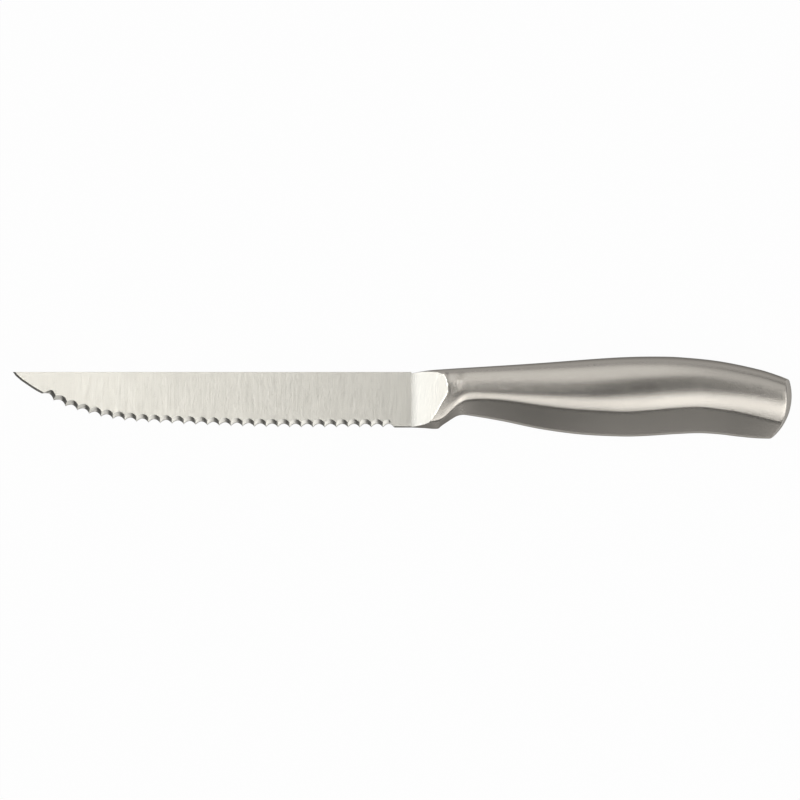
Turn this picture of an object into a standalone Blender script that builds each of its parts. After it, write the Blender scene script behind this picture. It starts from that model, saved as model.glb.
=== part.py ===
"""All-metal steak knife: serrated blade with a stub tang, solid bolster, hollow handle.

The knife lies on its right side. X runs from tip to butt, Y from cutting edge to spine,
and Z up through its thickness. It is modelled about three lines of its own: the crease
where blade and bolster meet is x = 0, the blade's straight spine is y = 0, and the seam
plane that halves the handle is z = 0. An empty then carries it to the middle of its
own footprint, with its lower side at the ground.
"""

import math

import bmesh
import bpy
from mathutils import Matrix, Vector

MM = 0.001

# Blade
BLADE_LENGTH = 115.7 * MM  # from the tip to the bolster
BLADE_HEIGHT = 16.4 * MM
BLADE_THICKNESS = 1.5 * MM
PLAIN_TIP = 8.5 * MM  # straight stretch with a bevel and no teeth, measured along X
TIP_DROP = 6.5 * MM  # how far the edge falls over that stretch
PLAIN_HEEL = 4.9 * MM  # stretch without teeth next to the bolster
BEVEL_WIDTH = 0.45 * MM
BEVEL_LAND = 0.3 * MM  # what the bevel leaves of the thickness
TOOTH_PITCH = 3.41 * MM
TOOTH_DEPTH = 1.15 * MM
TOOTH_LEAN = 0.1  # how far a scallop's crown moves back, for each unit of its height
TOOTH_FULLNESS = 0.8  # exponent of the scallop's arch, where 1 is a sine and 0 a box
GRIND_RISE = 1.05 * MM  # how much deeper the scallops are on the face they are ground from
TOOTH_TRIM = 0.06 * MM  # metal that the grinding takes off the tips
RUN_OUT_DROP = 0.2 * MM  # how far under the edge the grinding starts and ends
RUN_OUT_SHARE = 0.5  # share of a pitch over which it does so

# Stub tang, rolled thinner than the blade
TANG_LENGTH = 46.0 * MM  # behind the crease
TANG_HEIGHT = 7.0 * MM
TANG_TAPER = 1.5 * MM  # how much lower the tang is at its end
TANG_THICKNESS = 1.3 * MM
TANG_ROOT = 3.0 * MM  # how far its blank reaches into the blade

# Bolster
BOLSTER_LENGTH = 17.0 * MM
RAMP_LENGTH = 10.2 * MM  # from the crease to where the ramp runs out at the widest
LIP = 0.35 * MM  # metal beside the tang's slot at the crease
HEEL_LENGTH = 7.6 * MM
HEEL_FACET = 2.5 * MM  # height of the belly facet under the heel
SPIGOT_LENGTH = 6.0 * MM

# Hollow handle
HANDLE_LENGTH = 109.5 * MM  # from the crease to the end of the butt
HANDLE_THICKNESS = 15.0 * MM
HANDLE_RISE = 4.5 * MM  # crest above the blade's spine
HANDLE_DEPTH = 19.3 * MM  # lowest point of the belly under the blade's spine
NOTCH_AT = 15.0 * MM  # finger notch behind the heel
NOTCH_DEPTH = 12.45 * MM
WALL = 1.0 * MM
KEEL_RADIUS = 2.0 * MM
KEEL_FULL_AT = 24.0 * MM  # where the keel, narrower under the heel, has its full radius
HEEL_RADIUS = 0.95 * MM
RIDGE_SOFTNESS = 0.7 * MM
ROUNDNESS = 2.6  # exponent of the rounded spine, where 2 is an ellipse

# Butt cap
DOME_RISE = 6.0 * MM  # from the keel corner to the end of the dome
CAP_THICKNESS = 1.5 * MM
CAP_ROUNDING = 0.35 * MM
CAP_LIP_DEPTH = 2.5 * MM
CAP_LIP_WALL = 1.0 * MM

# Bedding, and the gap that touching pieces keep
BEDDING_COVER = 5.0 * MM  # bedding behind the end of the tang
FIT_GAP = 0.3 * MM

# Outlines. A blade point is (share of the length from the tip, share of the height).
EDGE_SHARES = (
    (0.130, 0.620), (0.190, 0.755), (0.250, 0.845), (0.310, 0.898), (0.400, 0.933),
    (0.520, 0.970), (0.660, 0.998), (1.0, 1.0),
)
# A neck point is (share of the ramp from the crease, share of the handle's rise).
NECK_CREST_SHARES = ((0.0, -0.06), (0.44, 0.1), (1.0, 0.2))
# A handle point is (share of the grip from the notch to the butt, share of a height).
CREST_SHARES = (
    (0.0, 0.27), (0.108, 0.41), (0.230, 0.58), (0.413, 0.87), (0.500, 0.97), (0.582, 1.0),
    (0.658, 0.955), (0.780, 0.69), (0.903, 0.15), (0.964, -0.26), (1.0, -0.56),
)
BELLY_SHARES = (
    (0.108, 0.731), (0.230, 0.854), (0.352, 0.935), (0.474, 0.966), (0.536, 0.963),
    (0.658, 0.927), (0.719, 0.917), (0.780, 0.935), (0.842, 0.971), (0.903, 0.996), (1.0, 1.0),
)
RIDGE_SHARES = (
    (0.0, 0.435), (0.035, 0.416), (0.108, 0.435), (0.199, 0.494), (0.291, 0.554),
    (0.413, 0.606), (0.500, 0.620), (0.658, 0.556), (0.719, 0.547), (0.780, 0.580),
    (0.842, 0.630), (0.903, 0.705), (1.0, 0.830),
)
WAIST_SHARES = (
    (0.0, 0.240), (0.061, 0.250), (0.291, 0.285), (0.413, 0.270), (0.536, 0.210),
    (0.719, 0.155), (0.842, 0.235), (1.0, 0.370),
)
SIDE_SHARES = (
    (0.0, 0.655), (0.108, 0.760), (0.230, 0.855), (0.413, 0.970), (0.560, 0.997),
    (0.640, 1.0), (0.719, 0.997), (0.903, 0.960), (1.0, 0.920),
)
NECK_SIDE_SHARE = 0.595  # share of the thickness at the crease and along the ramp
NECK_WAIST = 3.4 * MM  # widest line under the blade's spine there
DOME_AXIS_SHARE = 0.36  # share of the depth at which the butt's dome is centred
FLANK_SLOPE = 0.25  # how fast the flank draws in from the widest line down to the ridge
HEEL_SLOPE = 0.15

# Mesh fineness
SPINE_STEPS = 8
FLANK_STEPS = 5
KEEL_STEPS = 4
SHELL_STATIONS = 31
BOLSTER_STATIONS = 10
BEDDING_STATIONS = 8
TOOTH_STEPS = 8
DOME_ROUNDS = 8  # rounds in which a point of the section finds its place on the dome
DOME_SHARES = (0.2, 0.4, 0.6, 0.8, 0.94)

# Cutters pass the metal that they take by these shares of its thickness and of its depth.
CUT_THROUGH = 0.4
CUT_CLEAR = 3.0
WELD = 0.001 * MM

STEEL = (0.60, 0.585, 0.56)
SATIN = (0.50, 0.485, 0.465)
CEMENT = (0.36, 0.34, 0.30)


def smooth_line(points):
    """The height of a smooth curve through the points, as a function of the station."""
    points = sorted(points)
    last = len(points) - 1
    slopes = []
    for i in range(last + 1):
        before, after = points[max(i - 1, 0)], points[min(i + 1, last)]
        slopes.append((after[1] - before[1]) / (after[0] - before[0]))

    def height(station):
        if station <= points[0][0]:
            return points[0][1]
        if station >= points[last][0]:
            return points[last][1]
        i = max(k for k in range(last) if points[k][0] <= station)
        (x0, y0), (x1, y1) = points[i], points[i + 1]
        span = x1 - x0
        t = (station - x0) / span
        rise = y1 - y0
        bend_in = slopes[i] * span - rise
        bend_out = slopes[i + 1] * span - rise
        return y0 + rise * t + t * (1 - t) * ((1 - t) * bend_in - t * bend_out)

    return height


def grip_points(outline, scale):
    """An outline's shares, turned into stations and heights along the grip."""
    grip = HANDLE_LENGTH - NOTCH_AT
    return [(NOTCH_AT + along * grip, share * scale) for along, share in outline]


toothed_edge = smooth_line([(PLAIN_TIP - BLADE_LENGTH, -TIP_DROP)] + [
    (share * BLADE_LENGTH - BLADE_LENGTH, -drop * BLADE_HEIGHT) for share, drop in EDGE_SHARES
])
crest = smooth_line(
    [(along * RAMP_LENGTH, rise * HANDLE_RISE) for along, rise in NECK_CREST_SHARES]
    + grip_points(CREST_SHARES, HANDLE_RISE)
)
belly_behind_heel = smooth_line(
    [(HEEL_LENGTH, -BLADE_HEIGHT), (NOTCH_AT, -NOTCH_DEPTH)]
    + grip_points(BELLY_SHARES, -HANDLE_DEPTH)
)
ridge = smooth_line(
    [(0.0, HEEL_FACET - BLADE_HEIGHT), (HEEL_LENGTH, HEEL_FACET - BLADE_HEIGHT)]
    + grip_points(RIDGE_SHARES, -HANDLE_DEPTH)
)
waist = smooth_line(
    [(0.0, -NECK_WAIST), (RAMP_LENGTH, -NECK_WAIST)] + grip_points(WAIST_SHARES, -HANDLE_DEPTH)
)
neck_half = NECK_SIDE_SHARE * HANDLE_THICKNESS / 2
half_side = smooth_line(
    [(0.0, neck_half), (RAMP_LENGTH, neck_half)] + grip_points(SIDE_SHARES, HANDLE_THICKNESS / 2)
)
flank_slope = smooth_line([(0.0, HEEL_SLOPE), (HEEL_LENGTH, HEEL_SLOPE), (NOTCH_AT, FLANK_SLOPE)])
keel_radius = smooth_line([
    (0.0, HEEL_RADIUS), (HEEL_LENGTH, HEEL_RADIUS), (KEEL_FULL_AT, KEEL_RADIUS),
])


def belly(station):
    """Lowest line of the knife behind the crease: a level heel, then the finger notch."""
    if station <= HEEL_LENGTH:
        return -BLADE_HEIGHT
    return belly_behind_heel(station)


def half_section(station):
    """(y, z) points round the left half of the handle, from its spine to its keel."""
    top, wide, half = crest(station), waist(station), half_side(station)
    crease = ridge(station)
    crease_half = half - flank_slope(station) * (wide - crease)
    points = []
    for i in range(SPINE_STEPS + 1):
        turn = math.radians(90.0 * i / SPINE_STEPS)
        up = max(math.cos(turn), 0.0) ** (2 / ROUNDNESS)
        out = math.sin(turn) ** (2 / ROUNDNESS)
        points.append((wide + (top - wide) * up, half * out))

    flank_end = 1 - RIDGE_SOFTNESS / (wide - crease)
    for i in range(1, FLANK_STEPS + 1):
        share = flank_end * i / FLANK_STEPS
        points.append((wide - (wide - crease) * share, half - (half - crease_half) * share ** 2))

    # The belly facet runs from the ridge to the round keel, and touches it.
    radius = keel_radius(station)
    keel_centre = belly(station) + radius
    reach = math.hypot(crease - keel_centre, crease_half)
    touch = math.atan2(crease_half, crease - keel_centre) + math.acos(radius / reach)
    foot = (keel_centre + radius * math.cos(touch), radius * math.sin(touch))
    facet = math.hypot(crease - foot[0], crease_half - foot[1])
    start = RIDGE_SOFTNESS / facet
    facet_start = (
        crease + (foot[0] - crease) * start,
        crease_half + (foot[1] - crease_half) * start,
    )
    before = points[-1]
    points.append((
        (before[0] + facet_start[0] + 2 * crease) / 4,
        (before[1] + facet_start[1] + 2 * crease_half) / 4,
    ))
    points.append(facet_start)
    for i in range(KEEL_STEPS + 1):
        turn = touch + (math.pi - touch) * i / KEEL_STEPS
        points.append((keel_centre + radius * math.cos(turn), radius * math.sin(turn)))
    points[-1] = (belly(station), 0.0)
    return points


def inset_half(points, depth):
    """The same half section, moved inwards by a depth at right angles to its outline."""
    if depth == 0:
        return points
    closed = [(points[1][0], -points[1][1])] + points + [(points[-2][0], -points[-2][1])]
    moved = []
    for before, point, after in zip(closed, closed[1:], closed[2:]):
        run = (after[0] - before[0], after[1] - before[1])
        length = math.hypot(*run)
        moved.append((point[0] - depth * run[1] / length, point[1] + depth * run[0] / length))
    return moved


def whole_ring(stations, depth):
    """Ring round the handle, where each point of the half section has its own station."""
    left = []
    for i, station in enumerate(stations):
        y, z = inset_half(half_section(station), depth)[i]
        left.append(Vector((station, y, z)))
    right = [Vector((p.x, p.y, -p.z)) for p in reversed(left[1:-1])]
    return left + right


POINTS_PER_HALF = len(half_section(0.0))
DOME_Y = -DOME_AXIS_SHARE * HANDLE_DEPTH
DOME_REACH = DOME_Y - belly(HANDLE_LENGTH - DOME_RISE)
DOME_RADIUS = (DOME_REACH ** 2 + DOME_RISE ** 2) / (2 * DOME_RISE)
DOME_X = HANDLE_LENGTH - DOME_RADIUS


def flat_ring(station, depth=0.0):
    """Ring round the handle in one plane across it."""
    return whole_ring([station] * POINTS_PER_HALF, depth)


def dome_station(y, z, below):
    """Station of the butt's dome, or of one that lies below it, at a height and a width."""
    return DOME_X + math.sqrt((DOME_RADIUS - below) ** 2 - (y - DOME_Y) ** 2 - z ** 2)


def dome_stations(below, depth=0.0):
    """Stations at which the half section runs into the dome."""
    stations = []
    for i in range(POINTS_PER_HALF):
        station = HANDLE_LENGTH - DOME_RISE
        for _ in range(DOME_ROUNDS):
            y, z = inset_half(half_section(station), depth)[i]
            station = dome_station(y, z, below)
        stations.append(station)
    return stations


def dome_ring(below, depth=0.0):
    """Ring round the handle where it runs into the dome."""
    return whole_ring(dome_stations(below, depth), depth)


def shrunk_ring(ring, share, below):
    """A ring on the dome, drawn in towards the dome's own pole."""
    shrunk = []
    for point in ring:
        y = DOME_Y + (point.y - DOME_Y) * share
        z = point.z * share
        shrunk.append(Vector((dome_station(y, z, below), y, z)))
    return shrunk


def new_collection(name):
    collection = bpy.data.collections.new(name)
    bpy.context.scene.collection.children.link(collection)
    return collection


def new_material(name, colour, roughness, metallic):
    material = bpy.data.materials.new(name)
    material.use_nodes = True
    shader = material.node_tree.nodes["Principled BSDF"]
    shader.inputs["Base Color"].default_value = (*colour, 1.0)
    shader.inputs["Roughness"].default_value = roughness
    shader.inputs["Metallic"].default_value = metallic
    return material


def add_object(name, mesh, collection):
    """Puts a mesh in a collection, on the empty that carries the knife."""
    thing = bpy.data.objects.new(name, mesh)
    collection.objects.link(thing)
    thing.parent = knife_line
    return thing


def add_part(name, mesh, material, smooth_angle=30.0):
    mesh.materials.append(material)
    mesh.shade_smooth()
    mesh.set_sharp_from_angle(angle=math.radians(smooth_angle))
    return add_object(name, mesh, knife)


def add_cutter(name, mesh):
    cutter = add_object(name, mesh, cutters)
    cutter.hide_render = True
    cutter.display_type = 'WIRE'
    return cutter


def cut(part, cutter, operation='DIFFERENCE'):
    boolean = part.modifiers.new(cutter.name, 'BOOLEAN')
    boolean.operation = operation
    boolean.solver = 'EXACT'
    boolean.object = cutter


def loft_mesh(name, rings, capped=True):
    """Skin over rings of equally many points. A ring of one point closes in a fan."""
    shape = bmesh.new()
    rows = [[shape.verts.new(point) for point in ring] for ring in rings]
    for near, far in zip(rows, rows[1:]):
        count = max(len(near), len(far))
        for i in range(count):
            j = (i + 1) % count
            corners = (near[i % len(near)], near[j % len(near)], far[j % len(far)], far[i % len(far)])
            shape.faces.new(list(dict.fromkeys(corners)))
    if capped:
        for row in (rows[0], rows[-1]):
            if len(row) > 1:
                shape.faces.new(row)
    bmesh.ops.recalc_face_normals(shape, faces=shape.faces)
    mesh = bpy.data.meshes.new(name)
    shape.to_mesh(mesh)
    shape.free()
    return mesh


def box_mesh(name, low, high, placing=None):
    """Box between two corners, turned or moved afterwards by a matrix."""
    low, high = Vector(low), Vector(high)
    shape = bmesh.new()
    bmesh.ops.create_cube(shape, size=1.0)
    bmesh.ops.scale(shape, verts=shape.verts, vec=high - low)
    bmesh.ops.translate(shape, verts=shape.verts, vec=(low + high) / 2)
    if placing is not None:
        bmesh.ops.transform(shape, verts=shape.verts, matrix=placing)
    mesh = bpy.data.meshes.new(name)
    shape.to_mesh(mesh)
    shape.free()
    return mesh


def outline_mesh(name, outline, thickness):
    """Flat plate with the given outline in the XY plane, as a mesh that can be cut."""
    curve = bpy.data.curves.new(name, 'CURVE')
    curve.dimensions = '2D'
    curve.fill_mode = 'BOTH'
    curve.extrude = thickness / 2
    spline = curve.splines.new('POLY')
    spline.points.add(len(outline) - 1)
    for point, (x, y) in zip(spline.points, outline):
        point.co = (x, y, 0.0, 1.0)
    spline.use_cyclic_u = True
    drawn = bpy.data.objects.new(name, curve)
    bpy.context.scene.collection.objects.link(drawn)
    view = bpy.context.evaluated_depsgraph_get()
    mesh = bpy.data.meshes.new_from_object(drawn.evaluated_get(view))
    bpy.data.objects.remove(drawn)
    shape = bmesh.new()
    shape.from_mesh(mesh)
    bmesh.ops.remove_doubles(shape, verts=shape.verts, dist=WELD)
    bmesh.ops.recalc_face_normals(shape, faces=shape.faces)
    shape.to_mesh(mesh)
    shape.free()
    mesh.name = name
    return mesh


def edge_height(x):
    """The cutting edge: straight from the tip to the first tooth, then curved."""
    from_tip = x + BLADE_LENGTH
    if from_tip < PLAIN_TIP:
        return -TIP_DROP * from_tip / PLAIN_TIP
    return toothed_edge(x)


def edge_point(x):
    return Vector((x, edge_height(x), 0.0))


def edge_inward(x):
    """Direction from the cutting edge into the blade, at right angles to the edge."""
    step = 0.1 * TOOTH_PITCH
    along = edge_point(x + step) - edge_point(x - step)
    return Vector((-along.y, along.x, 0.0)).normalized()


def tooth_tips():
    """Stations of the tooth tips, evenly spaced between the plain tip and the plain heel."""
    first, last = PLAIN_TIP - BLADE_LENGTH, -PLAIN_HEEL
    count = max(round((last - first) / TOOTH_PITCH), 1)
    return [first + (last - first) * i / count for i in range(count + 1)]


def tang_middle():
    """Height of the middle of the tang, which is the middle of the handle at the notch."""
    return (crest(NOTCH_AT) + belly(NOTCH_AT)) / 2


def blade_outline():
    """Corners of the blade, from the tip along the edge and back by the spine."""
    edge = [(x, edge_height(x)) for x in [-BLADE_LENGTH] + tooth_tips()]
    return edge + [(-FIT_GAP, -BLADE_HEIGHT), (-FIT_GAP, 0.0)]


def tang_outline():
    """Corners of the tang, from inside the blade's heel to its lower end in the handle."""
    half, end_half = TANG_HEIGHT / 2, (TANG_HEIGHT - TANG_TAPER) / 2
    middle = tang_middle()
    return [
        (-FIT_GAP - TANG_ROOT, middle - half),
        (-FIT_GAP, middle - half),
        (TANG_LENGTH, middle - end_half),
        (TANG_LENGTH, middle + end_half),
        (-FIT_GAP, middle + half),
        (-FIT_GAP - TANG_ROOT, middle + half),
    ]


def scallop_line(level):
    """The toothed edge at a level through the blade: 0 at its back face, 1 at its ground face."""
    tips = tooth_tips()
    z = BLADE_THICKNESS * (level - 0.5)
    line = []
    for number, (here, there) in enumerate(zip(tips, tips[1:])):
        start, chord = edge_point(here), edge_point(there) - edge_point(here)
        inward = Vector((-chord.y, chord.x, 0.0))
        final = number == len(tips) - 2
        for i in range(TOOTH_STEPS + final):
            share = i / TOOTH_STEPS
            arch = max(math.sin(math.pi * share), 0.0) ** TOOTH_FULLNESS
            crown = arch * TOOTH_DEPTH / TOOTH_PITCH
            along = share + TOOTH_LEAN * crown
            point = start + chord * along + inward * crown
            # The grinding runs out under the edge at the first and at the last tooth.
            into_row = min(number + along, len(tips) - 1 - number - along)
            full = min(max(into_row / RUN_OUT_SHARE, 0.0), 1.0)
            lift = full * (TOOTH_TRIM + GRIND_RISE * level) - (1 - full) * RUN_OUT_DROP
            point += edge_inward(point.x) * lift
            line.append(Vector((point.x, point.y, z)))
    return line


def scallop_cutter():
    """All the metal that the scallops take away, as one body that is closed under the edge."""
    rings = []
    for level in (-CUT_THROUGH, 1 + CUT_THROUGH):
        line = scallop_line(level)
        below = -BLADE_HEIGHT - CUT_CLEAR * TOOTH_DEPTH
        rings.append(line + [
            Vector((line[-1].x, below, line[-1].z)),
            Vector((line[0].x, below, line[0].z)),
        ])
    return loft_mesh("scallops", rings)


def bevel_cutter():
    """Wedge along the plain edge at the tip, which leaves a bevel on the ground face."""
    top, foot = BLADE_THICKNESS / 2, BEVEL_LAND - BLADE_THICKNESS / 2
    slant = BEVEL_WIDTH / (top - foot)
    beyond = CUT_THROUGH * BLADE_THICKNESS
    clear = CUT_CLEAR * BEVEL_WIDTH
    tip, first_tooth = edge_point(-BLADE_LENGTH), edge_point(PLAIN_TIP - BLADE_LENGTH)
    along = (first_tooth - tip).normalized()
    inward = Vector((-along.y, along.x, 0.0))
    up = Vector((0.0, 0.0, 1.0))
    rings = []
    for point in (tip - along * PLAIN_TIP, first_tooth + along * TOOTH_PITCH / 4):
        rings.append([
            point + inward * (slant * (top + beyond - foot)) + up * (top + beyond),
            point - inward * (slant * beyond) + up * (foot - beyond),
            point - inward * clear + up * (foot - beyond),
            point - inward * clear + up * (top + beyond),
        ])
    return loft_mesh("tip_bevel", rings)


def make_blade(steel):
    blade = add_part("blade", outline_mesh("blade", blade_outline(), BLADE_THICKNESS), steel)
    tang = outline_mesh("tang_blank", tang_outline(), TANG_THICKNESS)
    cut(blade, add_cutter("tang_blank", tang), 'UNION')
    cut(blade, add_cutter("scallop_grind", scallop_cutter()))
    cut(blade, add_cutter("tip_bevel_grind", bevel_cutter()))


def tang_slot(name, start, end):
    """Cutter for the space that the tang needs, with the gap all round it."""
    half_height = TANG_HEIGHT / 2 + FIT_GAP
    half_width = TANG_THICKNESS / 2 + FIT_GAP
    low = (start, tang_middle() - half_height, -half_width)
    high = (end, tang_middle() + half_height, half_width)
    return add_cutter(name, box_mesh(name, low, high))


def make_bolster(steel):
    """Solid wedge with the heel, the start of the notch and a spigot for the shells."""
    inside = WALL + FIT_GAP
    spigot_end = BOLSTER_LENGTH + SPIGOT_LENGTH
    stations = [0.0, 0.5 * HEEL_LENGTH]
    stations += [
        HEEL_LENGTH + (BOLSTER_LENGTH - HEEL_LENGTH) * i / BOLSTER_STATIONS
        for i in range(BOLSTER_STATIONS + 1)
    ]
    rings = [flat_ring(station) for station in stations]
    rings += [flat_ring(BOLSTER_LENGTH + SPIGOT_LENGTH * share, inside) for share in (0.0, 0.5, 1.0)]
    bolster = add_part("bolster", loft_mesh("bolster", rings), steel)

    lip_half = TANG_THICKNESS / 2 + FIT_GAP + LIP
    slope = math.atan((half_side(RAMP_LENGTH) - lip_half) / RAMP_LENGTH)
    block_low = (-BOLSTER_LENGTH, -2 * HANDLE_DEPTH, 0.0)
    block_high = (2 * BOLSTER_LENGTH, 2 * HANDLE_DEPTH, HANDLE_THICKNESS)
    tilt = Matrix.Translation((0.0, 0.0, lip_half)) @ Matrix.Rotation(-slope, 4, 'Y')
    for side, flip in (("left", 0.0), ("right", math.pi)):
        placing = Matrix.Rotation(flip, 4, 'X') @ tilt
        name = side + "_ramp_grind"
        cut(bolster, add_cutter(name, box_mesh(name, block_low, block_high, placing)))
    cut(bolster, tang_slot("bolster_slot", -BOLSTER_LENGTH, spigot_end + SPIGOT_LENGTH))


def shell_rings():
    """Rings of the hollow handle, from the bolster's shoulder to the rim under the cap."""
    start = BOLSTER_LENGTH + FIT_GAP
    ends = dome_stations(CAP_THICKNESS + FIT_GAP)
    rings = []
    for i in range(SHELL_STATIONS):
        share = i / (SHELL_STATIONS - 1)
        rings.append(whole_ring([start + (end - start) * share for end in ends], 0.0))
    return rings


def make_shells(satin):
    """The two pressed halves, parted along the seam plane."""
    for side, flip in (("left", math.pi), ("right", 0.0)):
        mesh = loft_mesh(side + "_shell", shell_rings(), capped=False)
        shell = add_part(side + "_shell", mesh, satin)
        wall = shell.modifiers.new("wall", 'SOLIDIFY')
        wall.thickness = WALL
        wall.offset = -1.0
        wall.use_even_offset = True
        low = (0.0, -2 * HANDLE_DEPTH, -FIT_GAP / 2)
        high = (2 * HANDLE_LENGTH, 2 * HANDLE_DEPTH, 2 * HANDLE_THICKNESS)
        name = side + "_seam_cut"
        placing = Matrix.Rotation(flip, 4, 'X')
        cut(shell, add_cutter(name, box_mesh(name, low, high, placing)))


def make_butt_cap(satin):
    """Pressed dome with a turned-in lip that fits inside the shells."""
    inside = WALL + FIT_GAP
    lip_inside = inside + CAP_LIP_WALL
    lip_outer = dome_stations(CAP_THICKNESS, inside)
    lip_inner = dome_stations(CAP_THICKNESS, lip_inside)
    outer_rim = dome_ring(0.0, CAP_ROUNDING)
    inner_rim = whole_ring(lip_inner, lip_inside)
    rings = [[Vector((HANDLE_LENGTH, DOME_Y, 0.0))]]
    rings += [shrunk_ring(outer_rim, share, 0.0) for share in DOME_SHARES]
    rings += [
        outer_rim,
        dome_ring(CAP_ROUNDING),
        dome_ring(CAP_THICKNESS),
        whole_ring(lip_outer, inside),
        whole_ring([station - CAP_LIP_DEPTH for station in lip_outer], inside),
        whole_ring([station - CAP_LIP_DEPTH for station in lip_inner], lip_inside),
        inner_rim,
    ]
    rings += [shrunk_ring(inner_rim, share, CAP_THICKNESS) for share in reversed(DOME_SHARES)]
    rings.append([Vector((HANDLE_LENGTH - CAP_THICKNESS, DOME_Y, 0.0))])
    add_part("butt_cap", loft_mesh("butt_cap", rings), satin)


def make_bedding(cement):
    """Hard filler that grips the tang between the two shells."""
    start = BOLSTER_LENGTH + SPIGOT_LENGTH + FIT_GAP
    end = TANG_LENGTH + BEDDING_COVER
    last = BEDDING_STATIONS - 1
    stations = [start + (end - start) * i / last for i in range(BEDDING_STATIONS)]
    rings = [flat_ring(station, WALL + FIT_GAP) for station in stations]
    bedding = add_part("tang_bedding", loft_mesh("tang_bedding", rings), cement)
    cut(bedding, tang_slot("bedding_pocket", start - SPIGOT_LENGTH, TANG_LENGTH + FIT_GAP))


def carry_to_ground():
    """Moves the knife to the middle of its footprint, with its lower side at the ground."""
    points = [point for ring in shell_rings() for point in ring]
    top, foot = max(p.y for p in points), min(p.y for p in points)
    side = max(p.z for p in points)
    knife_line.location = ((BLADE_LENGTH - HANDLE_LENGTH) / 2, -(top + foot) / 2, side)


for old in list(bpy.context.scene.objects):
    bpy.data.objects.remove(old)

knife = new_collection("steak_knife")
cutters = new_collection("cutters")
knife_line = bpy.data.objects.new("knife_line", None)
knife.objects.link(knife_line)

make_blade(new_material("ground_steel", STEEL, roughness=0.30, metallic=1.0))
make_bolster(new_material("polished_steel", STEEL, roughness=0.20, metallic=1.0))
make_shells(new_material("satin_steel", SATIN, roughness=0.40, metallic=1.0))
make_butt_cap(new_material("satin_steel_cap", SATIN, roughness=0.40, metallic=1.0))
make_bedding(new_material("bedding_cement", CEMENT, roughness=0.90, metallic=0.0))
carry_to_ground()
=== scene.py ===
import math

import bmesh
import bpy
from mathutils import Matrix, Vector


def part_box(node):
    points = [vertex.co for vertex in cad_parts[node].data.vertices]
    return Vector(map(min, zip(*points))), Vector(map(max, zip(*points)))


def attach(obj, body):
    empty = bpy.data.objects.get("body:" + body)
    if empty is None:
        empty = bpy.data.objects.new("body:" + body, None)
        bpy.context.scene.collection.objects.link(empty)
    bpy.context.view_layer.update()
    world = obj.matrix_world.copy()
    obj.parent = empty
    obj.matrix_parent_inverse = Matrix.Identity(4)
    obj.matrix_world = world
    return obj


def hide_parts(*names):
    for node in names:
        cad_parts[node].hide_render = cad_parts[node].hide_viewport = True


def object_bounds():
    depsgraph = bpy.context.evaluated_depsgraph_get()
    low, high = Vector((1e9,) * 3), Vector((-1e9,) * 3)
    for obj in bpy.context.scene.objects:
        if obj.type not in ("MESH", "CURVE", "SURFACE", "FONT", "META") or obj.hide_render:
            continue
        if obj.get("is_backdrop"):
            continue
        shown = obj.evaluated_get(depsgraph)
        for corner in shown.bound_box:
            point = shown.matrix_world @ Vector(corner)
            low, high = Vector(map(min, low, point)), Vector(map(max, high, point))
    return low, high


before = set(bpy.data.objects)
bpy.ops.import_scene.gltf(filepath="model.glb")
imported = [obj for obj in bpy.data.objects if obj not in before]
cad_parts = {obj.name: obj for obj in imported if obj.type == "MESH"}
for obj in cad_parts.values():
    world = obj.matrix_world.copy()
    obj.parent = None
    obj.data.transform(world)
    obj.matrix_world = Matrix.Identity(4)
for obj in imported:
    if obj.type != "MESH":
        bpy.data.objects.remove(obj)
cad_low, cad_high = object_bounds()


# Blade: a strip of stainless steel, ground across on a belt, with a stub tang behind it.
# Thirty scallops are ground into its left face from the edge, and the tip has a plain
# bevel instead. Sizes are in millimetres from the knife's own lines: the crease in front
# of the bolster is x = 0, the spine is y = 0, and the middle of the thickness is z = 0.
BLADE_LENGTH = 115.7
BLADE_THICKNESS = 1.5
BLADE_CRISP_OVER = 14.0
FLAT_FACING = 0.98
SPINE_STRIP = 0.2
SHOULDER_BACK = 0.45
SPINE_EASE = 0.1
SPINE_EASE_START = 0.5
POINT_RETREAT = 1.2
TANG_END = 46.0
TANG_MIDDLE = -5.62
TANG_HEIGHT = 7.0
TANG_TAPER = 1.5
TANG_THICKNESS = 1.3
TANG_CRISP_OVER = 30.0

# The outline changes through the thickness, from level 0 at the right face to 1 at the left.
# A bevel or a grind is given as (level, how far in it has cut there).
BLADE_LEVELS = (0.0, 0.3, 0.45, 0.68, 0.74, 0.85, 1.0)
TIP_BEVEL = ((0.0, 0.0), (0.68, 0.02), (1.0, 0.64))
HEEL_BEVEL = ((0.0, 0.0), (0.85, 0.03), (1.0, 0.42))
NEAR_GRIND = ((0.0, 0.0), (0.3, 0.04), (0.74, 0.22), (1.0, 1.42))
FAR_GRIND = ((0.0, 0.0), (0.45, 0.05), (1.0, 1.36))
FAR_GRIND_START = 0.15
FAR_GRIND_RUN = 0.65

# The row of scallops runs from the tip's bevel to the flat heel.
SCALLOPS = 30
SCALLOP_STEPS = 18
SCALLOP_DEPTH = 1.0
SCALLOP_LEAN = 0.03
SCALLOP_FULLNESS = 0.8
ROW_START = -107.45
ROW_END = -5.3
ROW_DRIFT = 0.3
ROW_RUN_IN = 0.5
ROW_TRIM = 0.06
RUN_OUT_DROP = 0.2
HEEL_EDGE = -16.08
TIP_POINTS = (
    (-114.9, -1.15), (-113.3, -2.52), (-111.8, -3.55), (-110.3, -4.56), (-108.9, -5.45),
)
EDGE_POINTS = (
    (ROW_START, -6.2), (-104.0, -8.3), (-100.55, -10.0), (-97.2, -11.1), (-93.8, -12.1),
    (-90.35, -12.98), (-86.9, -13.62), (-83.5, -14.1), (-79.8, -14.45), (-69.4, -15.02),
    (-55.5, -15.6), (-39.3, -16.03), (ROW_END, HEEL_EDGE),
)

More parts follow.
